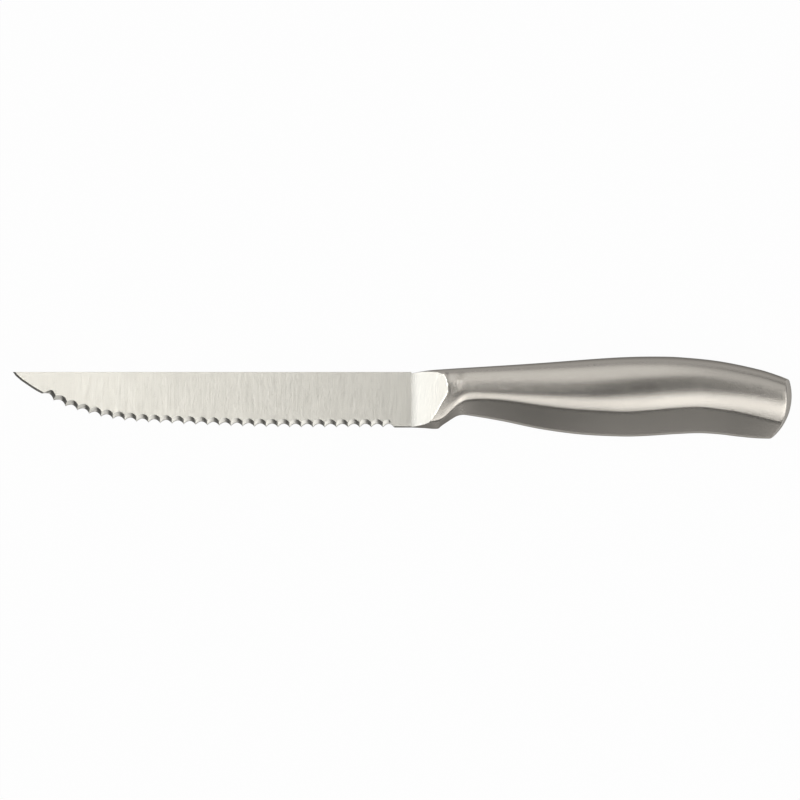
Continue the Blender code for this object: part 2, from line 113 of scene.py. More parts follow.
blade_low, blade_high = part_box("blade")
crease = Vector((blade_low.x + BLADE_LENGTH / 1000, blade_high.y, (blade_low.z + blade_high.z) / 2))


def smooth_line(points):
    """The height of a smooth curve through the points, as a function of the station."""
    last = len(points) - 1
    slopes = []
    for i in range(last + 1):
        before, after = points[max(i - 1, 0)], points[min(i + 1, last)]
        slopes.append((after[1] - before[1]) / (after[0] - before[0]))

    def height(station):
        if station <= points[0][0]:
            return points[0][1]
        if station >= points[last][0]:
            return points[last][1]
        i = max(k for k in range(last) if points[k][0] <= station)
        (x0, y0), (x1, y1) = points[i], points[i + 1]
        span = x1 - x0
        t = (station - x0) / span
        rise = y1 - y0
        bend_in = slopes[i] * span - rise
        bend_out = slopes[i + 1] * span - rise
        return y0 + rise * t + t * (1 - t) * ((1 - t) * bend_in - t * bend_out)

    return height


def part_way(profile, level):
    """A value from straight stretches between (level, value) pairs."""
    for (low, start), (high, end) in zip(profile, profile[1:]):
        if level <= high:
            return start + (end - start) * (level - low) / (high - low)


def skin_rings(name, rings):
    """A closed mesh, placed in the model, over rings of points in millimetres.

    The rings have equally many points, or a single one where the mesh ends in a point."""
    shape = bmesh.new()
    rows = [[shape.verts.new(crease + Vector(point) / 1000) for point in ring] for ring in rings]
    for near, far in zip(rows, rows[1:]):
        count = max(len(near), len(far))
        for i in range(count):
            j = (i + 1) % count
            corners = (near[i % len(near)], near[j % len(near)], far[j % len(far)], far[i % len(far)])
            shape.faces.new(list(dict.fromkeys(corners)))
    for row in (rows[0], rows[-1]):
        if len(row) > 1:
            shape.faces.new(row)
    bmesh.ops.recalc_face_normals(shape, faces=shape.faces)
    if shape.calc_volume(signed=True) < 0:
        bmesh.ops.reverse_faces(shape, faces=shape.faces)
    mesh = bpy.data.meshes.new(name)
    shape.to_mesh(mesh)
    shape.free()
    return mesh


def show_piece(name, mesh, crisp_over, materials):
    """Puts a finished mesh in the scene, with its edges crisp over an angle in degrees."""
    for material in materials:
        mesh.materials.append(material)
    mesh.shade_smooth()
    mesh.set_sharp_from_angle(angle=math.radians(crisp_over))
    piece = bpy.data.objects.new(name, mesh)
    bpy.context.scene.collection.objects.link(piece)
    return piece


class Signal:
    """An output socket whose arithmetic adds Math nodes to its own tree."""

    def __init__(self, tree, socket=None):
        self.tree = tree
        self.socket = socket

    def node(self, kind, settings=None, sockets=None, output=0):
        """Adds a node, sets it up, fills its sockets, and gives one of its outputs."""
        node = self.tree.nodes.new("ShaderNode" + kind)
        for name, value in (settings or {}).items():
            if name == "stops":
                ramp = node.color_ramp
                while len(ramp.elements) < len(value):
                    ramp.elements.new(1.0)
                for stop, (place, level) in zip(ramp.elements, value):
                    stop.position = place
                    stop.color = (level, level, level, 1.0)
            else:
                setattr(node, name, value)
        for key, value in (sockets or {}).items():
            if isinstance(value, Signal):
                self.tree.links.new(value.socket, node.inputs[key])
            else:
                node.inputs[key].default_value = value
        return Signal(self.tree, node.outputs[output] if node.outputs else None)

    def maths(self, operation, *values):
        """A Math node over the values, or over this signal where there are none."""
        return self.node("Math", {"operation": operation}, dict(enumerate(values or (self,))))

    def __add__(self, other):
        return self.maths("ADD", self, other)

    def __sub__(self, other):
        return self.maths("SUBTRACT", self, other)

    def __rsub__(self, other):
        return self.maths("SUBTRACT", other, self)

    def __mul__(self, other):
        return self.maths("MULTIPLY", self, other)

    __radd__ = __add__
    __rmul__ = __mul__


def new_finish(name):
    """A material with an empty tree, and the signal that starts its maths."""
    finish = bpy.data.materials.new(name)
    finish.use_nodes = True
    finish.node_tree.nodes.clear()
    return finish, Signal(finish.node_tree)


def noise_along(start, cell, detail):
    """Noise whose cells have the given size in millimetres along X, Y and Z."""
    place = start.node("TexCoord", output="Object")
    stretch = tuple(1000.0 / size for size in cell)
    spread = start.node("VectorMath", {"operation": "MULTIPLY"}, {0: place, 1: stretch})
    return start.node("TexNoise", sockets={"Vector": spread, "Scale": 1.0, "Detail": detail})


def part_between(start, value, low, high, first=0.0, curve="LINEAR"):
    """How far a value is from low to high, as a share that runs from first to 1."""
    return start.node(
        "MapRange", {"interpolation_type": curve},
        {"Value": value, "From Min": low, "From Max": high, "To Min": first},
    )


def part_along(start, low, high, first=0.0):
    """How far a place is between two stations in millimetres, as a share from first to 1."""
    place = start.node("TexCoord", output="Object")
    station = start.node("SeparateXYZ", sockets={"Vector": place}, output="X")
    return part_between(start, station, crease.x + low / 1000, crease.x + high / 1000, first)


def blend_colours(start, share, low, high):
    """A mix from one colour to another, where each may be a signal."""
    ends = [end if isinstance(end, Signal) else (*end, 1.0) for end in (low, high)]
    # A Mix node has its colours at sockets 6 and 7, and their blend at output 2.
    return start.node(
        "Mix", {"data_type": "RGBA"}, {"Factor": share, 6: ends[0], 7: ends[1]}, output=2,
    )


def bump(start, height, depth, strength=1.0):
    """The normals of a surface with a height over it, to a depth in millimetres."""
    return start.node("Bump", sockets={"Strength": strength, "Distance": depth / 1000, "Height": height})


def steel(start, colour, roughness, normal):
    """Bare stainless steel, whose reflections lose strength towards the rim."""
    rim = 0.3
    shader = start.node("BsdfPrincipled", sockets={
        "Base Color": colour, "Metallic": 1.0, "Roughness": roughness, "Normal": normal,
        "Specular Tint": (rim, rim, rim, 1.0),
    })
    start.node("OutputMaterial", sockets={"Surface": shader})


# The belt leaves fine lines from spine to edge, with a wider band here and there, and the lines
# are shallower at the tip. The colour is painted light at the tip and painted shade towards the heel.
BELT_LINE = (0.06, 11.0, 0.06)
BELT_STREAK = (0.45, 7.0, 0.45)
BELT_BAND = (2.4, 60.0, 2.4)
BELT_DEPTH = 0.058
LINE_SHARE = 0.3
STREAK_SHARE = 0.45
BAND_SHARE = 0.25
SCRATCH_LEVELS = (0.36, 0.64)
HEEL_SHADE_STRETCH = (-88.1, 0.9)
TIP_STRETCH = (-115.1, -83.1)
TIP_LINE_SHARE = 0.2
BELT_ROUGHNESS = 0.38
SCRATCH_ROUGHNESS = 0.1
# Painted light at the tip, and painted shade in the colours towards the heel.
TIP_STEEL = ((0.94, 0.912, 0.825), (0.98, 0.951, 0.86))
HEEL_SHADE_STEEL = ((0.65, 0.631, 0.574), (0.72, 0.7, 0.635))
ground_face, start = new_finish("ground_face")
lines = noise_along(start, BELT_LINE, 1.0)
streaks = noise_along(start, BELT_STREAK, 1.0)
bands = noise_along(start, BELT_BAND, 1.0)
heelward_shade = part_along(start, *HEEL_SHADE_STRETCH)
line_depth = part_along(start, *TIP_STRETCH, first=TIP_LINE_SHARE)
mixed = lines * LINE_SHARE + streaks * STREAK_SHARE + bands * BAND_SHARE
scratches = part_between(start, mixed, *SCRATCH_LEVELS)
steel(
    start,
    blend_colours(
        start, scratches,
        blend_colours(start, heelward_shade, TIP_STEEL[0], HEEL_SHADE_STEEL[0]),
        blend_colours(start, heelward_shade, TIP_STEEL[1], HEEL_SHADE_STEEL[1]),
    ),
    BELT_ROUGHNESS + scratches * SCRATCH_ROUGHNESS,
    bump(start, lines * line_depth, BELT_DEPTH),
)

# The wheel that cuts the scallops leaves a smoother, greyer face, with fine marks across it.
WHEEL_MARK = (0.12, 1.5, 1.5)
WHEEL_DEPTH = 0.004
WHEEL_ROUGHNESS = 0.28
MARK_ROUGHNESS = 0.08
WHEEL_STEEL = ((0.62, 0.604, 0.555), (0.70, 0.682, 0.627))
wheel_ground, start = new_finish("wheel_ground")
marks = noise_along(start, WHEEL_MARK, 1.0)
steel(
    start,
    blend_colours(start, marks, *WHEEL_STEEL),
    WHEEL_ROUGHNESS + marks * MARK_ROUGHNESS,
    bump(start, marks, WHEEL_DEPTH),
)

toothed_edge = smooth_line(EDGE_POINTS)


def tip_points(tip_in):
    """Points of the plain edge at the tip, moved in by its bevel."""
    plain = [Vector((x, y, 0.0)) for x, y in ((-BLADE_LENGTH, 0.0),) + TIP_POINTS + EDGE_POINTS[:1]]
    points = []
    for before, point, after in zip(plain, plain[1:], plain[2:]):
        along = after - before
        points.append(point + Vector((-along.y, along.x, 0.0)).normalized() * tip_in)
    return points


def scallop_points(level, tip_in, heel_in):
    """Points of the scallops at a level. The first and the last run into the bevels."""
    tips = []
    for i in range(SCALLOPS + 1):
        share = i / SCALLOPS
        x = ROW_START + (ROW_END - ROW_START) * share + ROW_DRIFT * math.sin(math.pi * share)
        tips.append(Vector((x, toothed_edge(x), 0.0)))
    points = []
    for number, (here, there) in enumerate(zip(tips, tips[1:])):
        chord = there - here
        inward = Vector((-chord.y, chord.x, 0.0)).normalized()
        plain_in = tip_in if number == 0 else heel_in if number == SCALLOPS - 1 else 0.0
        for i in range(SCALLOP_STEPS + (number == SCALLOPS - 1)):
            share = i / SCALLOP_STEPS
            crown = SCALLOP_DEPTH * max(math.sin(math.pi * share), 0.0) ** SCALLOP_FULLNESS
            along = share + SCALLOP_LEAN * crown / chord.length
            far = min(max((share - FAR_GRIND_START) / FAR_GRIND_RUN, 0.0), 1.0)
            far = far * far * (3.0 - 2.0 * far)
            cut = (1.0 - far) * part_way(NEAR_GRIND, level) + far * part_way(FAR_GRIND, level)
            into_row = min(number + along, SCALLOPS - number - along)
            full = min(into_row / ROW_RUN_IN, 1.0)
            lift = full * (ROW_TRIM + cut) - (1.0 - full) * RUN_OUT_DROP
            points.append(here + chord * along + inward * max(crown + lift, plain_in))
    return points


def blade_ring(level):
    """Outline of the blade at a level through its thickness, from the tip along the edge."""
    tip_in = part_way(TIP_BEVEL, level)
    heel_in = part_way(HEEL_BEVEL, level)
    ease = SPINE_EASE if level in (BLADE_LEVELS[0], BLADE_LEVELS[-1]) else 0.0
    corner = Vector((POINT_RETREAT * tip_in - BLADE_LENGTH, 0.0, 0.0))
    ring = [corner] + tip_points(tip_in) + scallop_points(level, tip_in, heel_in)
    ring.append(Vector((-SHOULDER_BACK, heel_in + HEEL_EDGE, 0.0)))
    ring.append(Vector((-SHOULDER_BACK, -ease, 0.0)))
    ring.append(Vector((corner.x + SPINE_EASE_START, -ease, 0.0)))
    z = BLADE_THICKNESS * (level - 0.5)
    return [Vector((p.x, p.y, z)) for p in ring]


blade_mesh = skin_rings("blade_visual", [blade_ring(level) for level in BLADE_LEVELS])
blade = show_piece("ground_blade", blade_mesh, BLADE_CRISP_OVER, [ground_face, wheel_ground])
for face in blade_mesh.polygons:
    middle = (face.center - crease) * 1000
    if abs(face.normal.z) < FLAT_FACING and middle.y < -SPINE_STRIP:
        face.material_index = 1
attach(blade, "root")
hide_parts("blade")

tang_rings = []
for x, half in ((-SHOULDER_BACK, TANG_HEIGHT / 2), (TANG_END, (TANG_HEIGHT - TANG_TAPER) / 2)):
    low, high, side = TANG_MIDDLE - half, TANG_MIDDLE + half, TANG_THICKNESS / 2
    tang_rings.append([(x, low, -side), (x, low, side), (x, high, side), (x, high, -side)])
tang = show_piece("stub_tang", skin_rings("stub_tang", tang_rings), TANG_CRISP_OVER, [ground_face])
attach(tang, "root")
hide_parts("blade")


# Bolster: a solid stainless wedge between blade and handle. Two flat ramps, polished
# bright, rise from the blade's flanks to the full width of the neck. The back, the heel and
# the start of the finger notch are ground to the same section as the handle.
BOLSTER_LENGTH = 17.0
RAMP_LENGTH = 10.2
HEEL_LENGTH = 7.6
SPIGOT_LENGTH = 6.0
SPIGOT_CLEARANCE = 0.3
FRONT_STEP = 0.1
FRONT_STEPS = 8
FRONT_END = 0.4
BOLSTER_STEPS = 60
BOLSTER_CRISP_OVER = 14.0
RAMP_MARGIN = 0.5
RAMP_CLOSE = 0.02
HANDLE_LENGTH = 109.5
HANDLE_THICKNESS = 14.99
HANDLE_RISE = 4.48
HANDLE_DEPTH = 19.3
NOTCH_AT = 15.0
NECK_HALF = 0.595 * HANDLE_THICKNESS / 2
WALL = 1.0
KEEL_RADIUS = 1.6
KEEL_FULL_AT = 20.0
HEEL_RADIUS = 0.7

# The section has a crest at the spine, a waist where it is widest, a flank that falls from
# there to a ridge, and a belly that is flat down to a round keel.
RIDGE_SOFTNESS = 0.65
FLANK_START = 0.15
SPINE_STEPS = 36
FLANK_STEPS = 26
RIDGE_STEPS = 6
KEEL_STEPS = 10

# Heights and half widths in front of the finger notch, as (station, size).
CREST_LINE = ((0.0, -0.27), (4.5, 0.45), (RAMP_LENGTH, 0.9))
HEEL_LINE = (
    (-SHOULDER_BACK, -16.05), (3.0, -16.22), (7.2, -16.4), (8.3, -15.55), (9.7, -14.6),
    (11.0, -13.74), (12.4, -12.9), (13.6, -12.5), (NOTCH_AT, -12.42),
)
RIDGE_LINE = (
    (0.0, -15.1), (4.5, -14.7), (HEEL_LENGTH, -13.95), (8.8, -13.4), (11.0, -11.5), (12.9, -9.85),
)
WAIST_LINE = ((0.0, -4.0), (8.0, -4.4), (RAMP_LENGTH, -5.1), (12.5, -5.5))
SIDE_LINE = ((0.0, NECK_HALF - 0.2), (RAMP_LENGTH, NECK_HALF - 0.03))

# Behind it they are (share of the grip's length, share of the rise, depth or half thickness).
CREST_SHARES = (
    (0.0, 0.27), (0.108, 0.41), (0.230, 0.58), (0.413, 0.87), (0.500, 0.97), (0.582, 1.0),
    (0.658, 0.955), (0.780, 0.69), (0.903, 0.15), (0.964, -0.26), (1.0, -0.56),
)
BELLY_SHARES = (
    (0.108, 0.731), (0.230, 0.854), (0.352, 0.935), (0.474, 0.966), (0.536, 0.963),
    (0.658, 0.927), (0.719, 0.917), (0.780, 0.935), (0.842, 0.971), (0.903, 0.996), (1.0, 1.0),
)
RIDGE_SHARES = (
    (0.0, 0.453), (0.035, 0.426), (0.108, 0.437), (0.199, 0.494), (0.291, 0.554),
    (0.413, 0.606), (0.500, 0.620), (0.658, 0.556), (0.719, 0.547), (0.780, 0.580),
    (0.842, 0.630), (0.903, 0.705), (1.0, 0.830),
)
WAIST_SHARES = (
    (0.0, 0.262), (0.061, 0.266), (0.291, 0.285), (0.413, 0.270), (0.536, 0.210),
    (0.719, 0.155), (0.842, 0.235), (1.0, 0.370),
)
SIDE_SHARES = (
    (0.0, 0.63), (0.108, 0.716), (0.230, 0.808), (0.413, 0.935), (0.560, 0.990),
    (0.640, 1.0), (0.719, 0.997), (0.903, 0.960), (1.0, 0.920),
)


def grip_line(before, shares, scale):
    """A smooth line through the sizes in front of the notch and the shares behind it."""
    grip = HANDLE_LENGTH - NOTCH_AT
    return smooth_line(list(before) + [(NOTCH_AT + along * grip, up * scale) for along, up in shares])


crest = grip_line(CREST_LINE, CREST_SHARES, HANDLE_RISE)
belly = grip_line(HEEL_LINE, BELLY_SHARES, -HANDLE_DEPTH)
ridge = grip_line(RIDGE_LINE, RIDGE_SHARES, -HANDLE_DEPTH)
waist = grip_line(WAIST_LINE, WAIST_SHARES, -HANDLE_DEPTH)
half_side = grip_line(SIDE_LINE, SIDE_SHARES, HANDLE_THICKNESS / 2)
keel_radius = smooth_line([
    (0.0, 1.3), (3.5, 0.85), (HEEL_LENGTH, HEEL_RADIUS), (KEEL_FULL_AT, KEEL_RADIUS),
])

# How square the back is, how steeply the flank falls to the ridge, how straight it is there,
# and how sharply it bends where it isn't straight.
roundness = smooth_line([
    (0.0, 2.4), (5.0, 2.9), (8.0, 3.5), (9.3, 3.5), (10.3, 2.8), (12.5, 2.75), (16.0, 2.9),
    (28.0, 2.8), (45.0, 2.6),
])
flank_slope = smooth_line([
    (0.0, 0.16), (4.9, 0.166), (6.5, 0.17), (8.8, 0.183), (10.0, 0.192), (12.1, 0.2), (14.5, 0.25),
    (16.5, 0.28), (25.0, 0.265), (54.0, 0.262), (83.0, 0.235), (94.0, 0.27), (100.0, 0.29),
    (HANDLE_LENGTH, 0.29),
])
flank_lean = smooth_line([(5.5, 0.85), (8.8, 0.78), (11.0, 0.5), (13.5, 0.18), (16.5, 0.0)])
flank_turn = smooth_line([
    (6.0, 4.0), (8.0, 3.3), (10.0, 3.0), (12.1, 2.8), (14.5, 1.95), (16.5, 1.65), (25.0, 1.8),
    (45.0, 1.75), (54.0, 1.85), (83.0, 1.95), (94.0, 1.75), (100.0, 1.65),
])


def back_points(station):
    """(y, z) points round the back, from the crest at the spine to the waist."""
    top, wide, half = crest(station), waist(station), half_side(station)
    power = 2 / roundness(station)
    points = []
    for i in range(SPINE_STEPS + 1):
        turn = math.radians(90.0 * i / SPINE_STEPS)
        up = max(math.cos(turn), 0.0) ** power
        points.append((wide + (top - wide) * up, half * math.sin(turn) ** power))
    return points


def flank_points(station, drop):
    """(y, z) points down the flank, which has fallen in by the drop at the ridge."""
    wide, half, low = waist(station), half_side(station), ridge(station)
    lean, bend = flank_lean(station), flank_turn(station)
    flank_end = 1 - RIDGE_SOFTNESS / (wide - low)
    points = []
    for i in range(1, FLANK_STEPS + 1):
        share = flank_end * i / FLANK_STEPS
        straight = (1 + FLANK_START) * share ** 2 / (share + FLANK_START)
        fall = lean * straight + (1 - lean) * share ** bend
        points.append((wide - (wide - low) * share, half - drop * fall))
    return points


def belly_points(station, before, drop):
    """(y, z) points over the soft ridge, down the flat belly and round the keel."""
    low = ridge(station)
    low_half = half_side(station) - drop
    radius = keel_radius(station)
    centre = belly(station) + radius
    reach = math.hypot(low - centre, low_half)
    touch = math.atan2(low_half, low - centre) + math.acos(radius / reach)
    foot = Vector((centre + radius * math.cos(touch), radius * math.sin(touch)))
    corner = Vector((low, low_half))
    after = corner + (foot - corner).normalized() * RIDGE_SOFTNESS
    points = []
    for i in range(1, RIDGE_STEPS + 1):
        t = i / RIDGE_STEPS
        points.append(tuple(before * (1 - t) ** 2 + corner * (2 * t * (1 - t)) + after * t ** 2))
    for i in range(KEEL_STEPS):
        turn = touch + (math.pi - touch) * i / KEEL_STEPS
        points.append((centre + radius * math.cos(turn), radius * math.sin(turn)))
    return points + [(belly(station), 0.0)]


def half_section(station):
    """(y, z) points round the left half of neck and handle, from the spine to the keel."""
    drop = flank_slope(station) * (waist(station) - ridge(station))
    side = back_points(station) + flank_points(station, drop)
    return side + belly_points(station, Vector(side[-1]), drop)


def inset_half(points, depth):
    """The same half section, moved inwards at right angles to its outline."""
    if depth == 0:
        return points
    closed = [(points[1][0], -points[1][1])] + points + [(points[-2][0], -points[-2][1])]
    moved = []
    for before, point, after in zip(closed, closed[1:], closed[2:]):
        run = (after[0] - before[0], after[1] - before[1])
        length = math.hypot(*run)
        moved.append((point[0] - depth * run[1] / length, point[1] + depth * run[0] / length))
    return moved


def half_ring(stations, depth=0.0):
    """Left half of a ring round the handle, where each point has a station of its own."""
    ring = []
    for i, station in enumerate(stations):
        y, z = inset_half(half_section(station), depth)[i]
        ring.append(Vector((station, y, z)))
    return ring


def mirrored(left):
    """A whole ring from its left half, which starts and ends in the middle."""
    return left + [Vector((p.x, p.y, -p.z)) for p in reversed(left[1:-1])]


def whole_ring(stations, depth=0.0):
    """A ring round the handle, with the left half's stations on both sides."""
    return mirrored(half_ring(stations, depth))


HALF_POINTS = len(half_section(0.0))


def ramp_side(station):
    """Half width that the ramp leaves: flush with the blade in front, straight from there."""
    slope = (NECK_HALF - BLADE_THICKNESS / 2) / (RAMP_LENGTH + SHOULDER_BACK)
    return BLADE_THICKNESS / 2 + slope * (station + SHOULDER_BACK)


def ground_ring(station):
    """Ring of the bolster, where the ramps have taken what stands out beyond them.

    A point that goes, beside one that stays, moves to where the section meets the ramp."""
    limit = ramp_side(station)
    section = half_section(station)
    left = [Vector((station, *section[0]))]
    for before, (y, side), after in zip(section, section[1:], section[2:] + section[-1:]):
        if side > limit:
            for next_y, next_side in (before, after):
                if next_side < limit:
                    y = next_y + (y - next_y) * (limit - next_side) / (side - next_side)
        left.append(Vector((station, y, min(side, limit))))
    return mirrored(left)


# Neck and handle are blasted to a fine even satin, the broad faces buffed a little smoother.
# The narrow sides, spine and belly, are painted darker as shade, a painted shade line runs
# along the ridge, and painted shade makes the belly darkest under the bolster.
SATIN_GRAIN = (0.22, 0.22, 0.22)
SATIN_CLOUD = (9.0, 3.0, 3.0)
SATIN_DEPTH = 0.03
GRAIN_SHARE = 0.4
CLOUD_SHARE = 0.6
SPINE_FACING = (0.1, 0.5)
SPINE_NARROWING = 0.04
BROAD_FACING = (0.6, 0.92)
BELLY_FACING = (-0.2, -0.7)
BOLSTER_STRETCH = (18.0, 10.0)
SATIN_ROUGHNESS = 0.26
BUFFED_AWAY = 0.06
GRAIN_ROUGHNESS = 0.06
# Painted shade: the narrow sides' colours, darker than the broad faces'.
NARROW_SHADE_STEEL = ((0.30, 0.281, 0.255), (0.40, 0.375, 0.341))
# Painted shade on the belly under the bolster.
UNDER_BOLSTER_SHADE_STEEL = ((0.17, 0.16, 0.145), (0.24, 0.225, 0.204))
BROAD_STEEL = ((0.72, 0.678, 0.612), (0.81, 0.763, 0.689))
# Painted shade: a dark line along the ridge, below the flank.
RIDGE_SHADE_STEEL = (0.26, 0.245, 0.22)
RIDGE_STOPS = ((0.0, 0.0), (0.41, 0.0), (0.45, 1.0), (0.5, 0.0))
RIDGE_STRENGTH = 0.8
satin_steel, start = new_finish("satin_steel")
facing = start.node("NewGeometry", output="Normal")
upright = start.node("SeparateXYZ", sockets={"Vector": facing}, output="Z").maths("ABSOLUTE")
across = start.node("SeparateXYZ", sockets={"Vector": facing}, output="Y")
spineward = part_between(start, across, *SPINE_FACING)
# The broad faces keep their own colour, and the rest gets the narrow sides' painted shade.
broad = part_between(start, upright - spineward * SPINE_NARROWING, *BROAD_FACING, curve="SMOOTHSTEP")
# Where the belly's painted shade under the bolster falls: full in front of station 10, gone behind 18.
bolster_belly_shade = part_between(start, across, *BELLY_FACING) * part_along(start, *BOLSTER_STRETCH)
# Where the ridge's painted shade line falls, by which way the surface faces.
ridge_shade_line = start.node("ValToRGB", {"stops": RIDGE_STOPS}, {0: across * -1.0})
grain = noise_along(start, SATIN_GRAIN, 1.5)
cloud = noise_along(start, SATIN_CLOUD, 2.0)
narrow_shade_colour = blend_colours(
    start, bolster_belly_shade,
    blend_colours(start, grain, *NARROW_SHADE_STEEL),
    blend_colours(start, grain, *UNDER_BOLSTER_SHADE_STEEL),
)
broad_colour = blend_colours(
    start, ridge_shade_line * RIDGE_STRENGTH,
    blend_colours(start, grain * GRAIN_SHARE + cloud * CLOUD_SHARE, *BROAD_STEEL),
    RIDGE_SHADE_STEEL,
)
steel(
    start,
    blend_colours(start, broad, narrow_shade_colour, broad_colour),
    SATIN_ROUGHNESS - broad * BUFFED_AWAY + grain * GRAIN_ROUGHNESS,
    bump(start, grain, SATIN_DEPTH),
)

# The ramps are polished, painted shade darkens them in the crease, and they darken a little towards the
# neck.
RAMP_HAZE = (0.3, 3.0, 0.3)
RAMP_DEPTH = 0.01
CREASE_SHADE_STRETCH = (-0.5, 1.3)
DARKER_TO_NECK_STRETCH = (3.0, 9.0)
RAMP_ROUGHNESS = 0.1
HAZE_ROUGHNESS = 0.05
# Painted shade in the crease in front of the ramps.
CREASE_SHADE_STEEL = (0.56, 0.55, 0.511)
BRIGHT_STEEL = ((0.77, 0.757, 0.703), (0.81, 0.797, 0.742))
RAMP_TOP_STEEL = (0.735, 0.716, 0.658)
ground_ramp, start = new_finish("ground_ramp")
haze = noise_along(start, RAMP_HAZE, 2.0)
out_of_crease_shade = part_along(start, *CREASE_SHADE_STRETCH)
darker_to_neck = part_along(start, *DARKER_TO_NECK_STRETCH)
bright_colour = blend_colours(start, haze, *BRIGHT_STEEL)
steel(
    start,
    blend_colours(
        start, out_of_crease_shade, CREASE_SHADE_STEEL,
        blend_colours(start, darker_to_neck, bright_colour, RAMP_TOP_STEEL),
    ),
    RAMP_ROUGHNESS + haze * HAZE_ROUGHNESS,
    bump(start, haze, RAMP_DEPTH),
)

stations = [-SHOULDER_BACK + FRONT_STEP * i for i in range(FRONT_STEPS)]
for i in range(BOLSTER_STEPS + 1):
    stations.append(FRONT_END + (BOLSTER_LENGTH - FRONT_END) * i / BOLSTER_STEPS)
bolster_rings = [ground_ring(station) for station in stations]
for station in (BOLSTER_LENGTH, BOLSTER_LENGTH + SPIGOT_LENGTH):
    bolster_rings.append(whole_ring([station] * HALF_POINTS, WALL + SPIGOT_CLEARANCE))
bolster_mesh = skin_rings("bolster_visual", bolster_rings)
bolster = show_piece("ramped_bolster", bolster_mesh, BOLSTER_CRISP_OVER, [satin_steel, ground_ramp])
for face in bolster_mesh.polygons:
    middle = (face.center - crease) * 1000
    off_the_ramp = abs(abs(middle.z) - ramp_side(middle.x))
    if middle.x < RAMP_LENGTH + RAMP_MARGIN and off_the_ramp < RAMP_CLOSE:
        face.material_index = 1
        face.use_smooth = False
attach(bolster, "root")
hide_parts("bolster")


# Handle shells: two halves pressed from 1 mm stainless sheet, welded along spine and keel,
# ground flush with the bolster and blasted to a fine satin. The butt's dome is a sphere,
# and the shells stop under it by the cap's thickness.
SHELL_STEPS = 110
SHELL_CRISP_OVER = 40.0
CAP_THICKNESS = 1.5
DOME_RISE = 6.0
DOME_Y = -0.36 * HANDLE_DEPTH
DOME_REACH = DOME_Y - belly(HANDLE_LENGTH - DOME_RISE)
DOME_RADIUS = (DOME_REACH ** 2 + DOME_RISE ** 2) / (2 * DOME_RISE)
DOME_X = HANDLE_LENGTH - DOME_RADIUS
DOME_ROUNDS = 8


def dome_station(y, z, below):
    """Station of the butt's dome, or of one a wall below it, at a height and a width."""
    return DOME_X + math.sqrt((DOME_RADIUS - below) ** 2 - (y - DOME_Y) ** 2 - z ** 2)


def dome_stations(below, depth=0.0):
    """Stations at which the points of the section run into the dome, closed in on in rounds."""
    stations = []
    for i in range(HALF_POINTS):
        station = HANDLE_LENGTH - DOME_RISE
        for _ in range(DOME_ROUNDS):
            y, z = inset_half(half_section(station), depth)[i]
            station = dome_station(y, z, below)
        stations.append(station)
    return stations


def part_back(ends, share):
    """Stations at a share of the way from the bolster back to those of a shell's end."""
    return [BOLSTER_LENGTH + (end - BOLSTER_LENGTH) * share for end in ends]


shell_ends = dome_stations(CAP_THICKNESS)
wall_ends = dome_stations(CAP_THICKNESS, WALL)
for name, side in (("left", 1), ("right", -1)):
    rings = []
    for i in range(SHELL_STEPS + 1):
        outside = half_ring(part_back(shell_ends, i / SHELL_STEPS))
        inside = half_ring(part_back(wall_ends, i / SHELL_STEPS), WALL)
        rings.append([Vector((p.x, p.y, side * max(p.z, 0.0))) for p in outside + inside[::-1]])
    shell_mesh = skin_rings(name + "_half_shell", rings)
    shell = show_piece(name + "_half_shell", shell_mesh, SHELL_CRISP_OVER, [satin_steel])
    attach(shell, "root")
    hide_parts(name + "_shell")


# Butt cap: a pressed stainless dome, welded on, ground flush and blasted with the shells.
# Only a softened rim shows where it turns from the handle's sides to the butt.
CAP_ROUNDING = 0.4
CAP_STEPS = 26
CAP_RIM_STEPS = 5
CAP_INNER_STEPS = 6
CAP_CRISP_OVER = 40.0
BUTT_GRAIN = (0.3, 0.3, 0.3)
BUTT_DEPTH = 0.04
BUTT_ROUGHNESS = 0.45
BUTT_GRAIN_ROUGHNESS = 0.1
# Painted shade: the butt face's colours, darker than the sides'.
BUTT_SHADE_STEEL = ((0.46, 0.437, 0.403), (0.58, 0.55, 0.508))
BUTT_FACING = 0.35


def shrunk_ring(ring, share, below):
    """A ring on the dome, drawn in towards the dome's own pole."""
    shrunk = []
    for point in ring:
        y, z = DOME_Y + (point.y - DOME_Y) * share, point.z * share
        shrunk.append(Vector((dome_station(y, z, below), y, z)))
    return shrunk


outer_rim = whole_ring(dome_stations(0.0, CAP_ROUNDING), CAP_ROUNDING)
corner_ring = whole_ring(dome_stations(0.0))
side_ring = whole_ring(dome_stations(CAP_ROUNDING))
inner_rim = whole_ring(dome_stations(CAP_THICKNESS, WALL), WALL)
cap_rings = [[Vector((HANDLE_LENGTH, DOME_Y, 0.0))]]
cap_rings += [shrunk_ring(outer_rim, i / CAP_STEPS, 0.0) for i in range(1, CAP_STEPS)]
for i in range(CAP_RIM_STEPS + 1):
    t = i / CAP_RIM_STEPS
    cap_rings.append([
        a * (1 - t) ** 2 + b * (2 * t * (1 - t)) + c * t ** 2
        for a, b, c in zip(outer_rim, corner_ring, side_ring)
    ])
cap_rings.append(whole_ring(shell_ends))
cap_rings.append(inner_rim)
for i in range(CAP_INNER_STEPS - 1, 0, -1):
    cap_rings.append(shrunk_ring(inner_rim, i / CAP_INNER_STEPS, CAP_THICKNESS))
cap_rings.append([Vector((HANDLE_LENGTH - CAP_THICKNESS, DOME_Y, 0.0))])

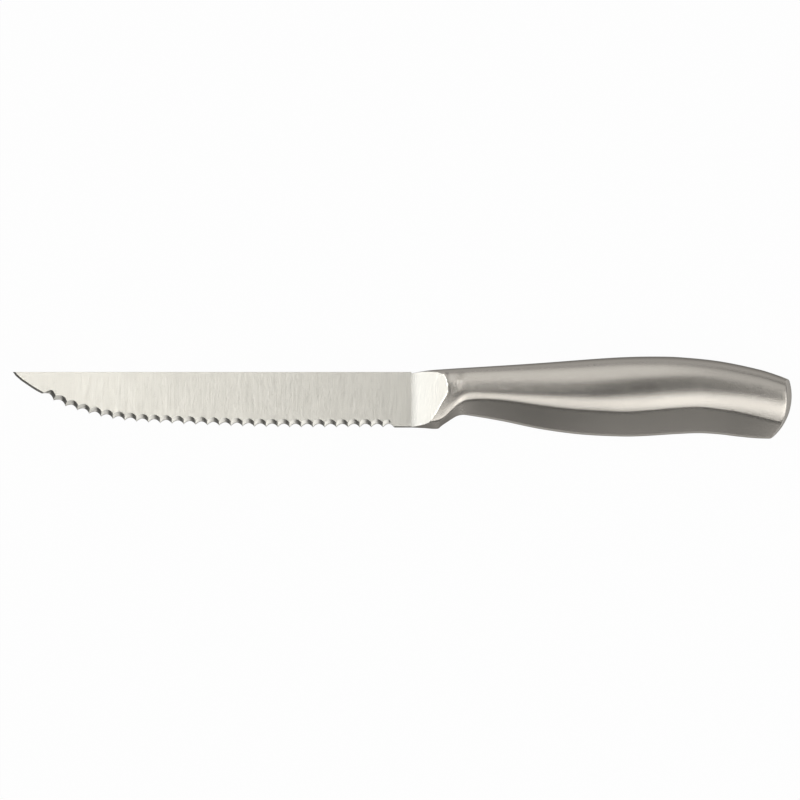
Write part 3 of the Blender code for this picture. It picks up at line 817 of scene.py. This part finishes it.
# The butt's face is blasted rougher, and its colour is painted darker than the sides as painted shade.
blasted_shaded_butt, start = new_finish("blasted_shaded_butt")
grain = noise_along(start, BUTT_GRAIN, 2.0)
steel(
    start,
    blend_colours(start, grain, *BUTT_SHADE_STEEL),
    BUTT_ROUGHNESS + grain * BUTT_GRAIN_ROUGHNESS,
    bump(start, grain, BUTT_DEPTH),
)
cap_mesh = skin_rings("domed_cap", cap_rings)
cap = show_piece("domed_cap", cap_mesh, CAP_CRISP_OVER, [satin_steel, blasted_shaded_butt])
for face in cap_mesh.polygons:
    if face.normal.x > BUTT_FACING:
        face.material_index = 1
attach(cap, "root")
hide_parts("butt_cap")


# Bedding: cement that was poured round the tang and set hard inside the handle. Its shape
# stays as the part has it, and it gets a gritty finish.
CEMENT_GRIT = (0.6, 0.6, 0.6)
CEMENT_DEPTH = 0.1
CEMENT_BUMP = 0.6
CEMENT_ROUGHNESS = 0.9
CEMENT_COLOURS = ((0.28, 0.26, 0.23), (0.46, 0.44, 0.40))
cement, start = new_finish("cement")
grit = noise_along(start, CEMENT_GRIT, 4.0)
shader = start.node("BsdfPrincipled", sockets={
    "Base Color": blend_colours(start, grit, *CEMENT_COLOURS),
    "Roughness": CEMENT_ROUGHNESS,
    "Normal": bump(start, grit, CEMENT_DEPTH, CEMENT_BUMP),
})
start.node("OutputMaterial", sockets={"Surface": shader})
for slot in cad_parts["tang_bedding"].material_slots:
    slot.material = cement


# Floor: a white sweep. To the camera and in reflections it is mostly paper white, and the
# rest of it takes the light, so the knife keeps a faint shadow.
FLOOR_HALF = 4.0
FLOOR_DROP = 0.0001
PAPER_SHARE = 0.97
PAPER_COLOUR = (0.85, 0.85, 0.85, 1.0)
floor_z = cad_low.z - FLOOR_DROP
corners = [(x * FLOOR_HALF, y * FLOOR_HALF, floor_z) for x, y in ((-1, -1), (1, -1), (1, 1), (-1, 1))]
floor_mesh = bpy.data.meshes.new("floor")
floor_mesh.from_pydata(corners, [], [(0, 1, 2, 3)])
floor = bpy.data.objects.new("floor", floor_mesh)
bpy.context.scene.collection.objects.link(floor)
paper, start = new_finish("paper")
seen = start.node("LightPath", output="Is Camera Ray")
glossy = start.node("LightPath", output="Is Glossy Ray")
through = start.node("LightPath", output="Is Transmission Ray")
pale = start.node("BsdfDiffuse", sockets={"Color": PAPER_COLOUR})
white = start.node("Emission", sockets={"Color": (1.0, 1.0, 1.0, 1.0), "Strength": 1.0})
look = start.node("MixShader", sockets={0: (seen + glossy + through) * PAPER_SHARE, 1: pale, 2: white})
start.node("OutputMaterial", sockets={"Surface": look})
floor_mesh.materials.append(paper)
floor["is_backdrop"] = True


# Light: a dim room that is lighter low down at its sides, and softboxes round the knife. The
# room's stops run from the side of the edge to that of the spine. A box's level is the
# brightness of its cloth, where 1 is white.
ROOM_STOPS = (
    (0.0, 0.34), (0.034, 0.34), (0.056, 0.05), (0.4, 0.05), (0.6, 0.06), (0.7, 0.2),
    (0.97, 0.2), (1.0, 0.7),
)
world = bpy.data.worlds.new("dim_room")
bpy.context.scene.world = world
world.use_nodes = True
world.node_tree.nodes.clear()
start = Signal(world.node_tree)
direction = start.node("TexCoord", output="Generated")
across = start.node("SeparateXYZ", sockets={"Vector": direction}, output="Y")
room = start.node("ValToRGB", {"stops": ROOM_STOPS}, {0: across * 0.5 + 0.5})
backdrop = start.node("Background", sockets={"Color": room, "Strength": 1.0})
start.node("OutputWorld", sockets={"Surface": backdrop})


def softbox(name, place, length, width, level):
    """A softbox at a place in metres that faces the knife, with its length along X."""
    lamp = bpy.data.lights.new(name, 'AREA')
    lamp.shape = 'RECTANGLE'
    lamp.size = length
    lamp.size_y = width
    lamp.energy = level * math.pi * width * length
    box = bpy.data.objects.new(name, lamp)
    bpy.context.scene.collection.objects.link(box)
    back = Vector(place).normalized()
    along = (Vector((1.0, 0.0, 0.0)) - back * back.x).normalized()
    facing = Matrix((along, back.cross(along), back)).transposed()
    box.matrix_world = Matrix.Translation(place) @ facing.to_4x4()
    box.visible_camera = False


softbox("edge_side", (-0.08, -0.458, 0.654), 0.32, 0.34, 1.05)
softbox("grip_edge", (0.23, -0.458, 0.654), 0.28, 0.36, 1.45)
softbox("butt_edge", (0.63, -0.45, 0.66), 0.54, 0.46, 1.6)
softbox("spine_side", (-0.02, 0.55, 0.58), 0.36, 1.0, 0.54)
softbox("spine_butt", (0.4, 0.55, 0.58), 0.44, 0.96, 0.3)
softbox("over_blade", (-0.36, 0.05, 0.8), 0.29, 0.44, 3.2)
softbox("tip_side", (-0.78, 0.12, 0.7), 0.6, 0.56, 1.05)
softbox("butt_side", (0.56, -0.05, 0.8), 0.7, 0.5, 0.95)
softbox("low_edge", (0.71, -0.64, 0.33), 0.62, 0.36, 0.85)


# Camera: straight above the knife, far off with a long lens. The frame is square and
# 231.4 mm wide at the seam of the handle, and its middle is just off the knife's own.
FRAME_WIDTH = 0.23136
FRAME_MIDDLE = (-0.00066, -0.000735)
SENSOR_WIDTH = 36.0
LENS = 400.0
camera_data = bpy.data.cameras.new("camera")
camera_data.sensor_width = SENSOR_WIDTH
camera_data.lens = LENS
camera_data.clip_end = 20.0
camera = bpy.data.objects.new("camera", camera_data)
bpy.context.scene.collection.objects.link(camera)
camera.location = (*FRAME_MIDDLE, crease.z + FRAME_WIDTH * LENS / SENSOR_WIDTH)
bpy.context.scene.camera = camera
bpy.context.scene.view_settings.view_transform = 'Standard'

low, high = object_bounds()
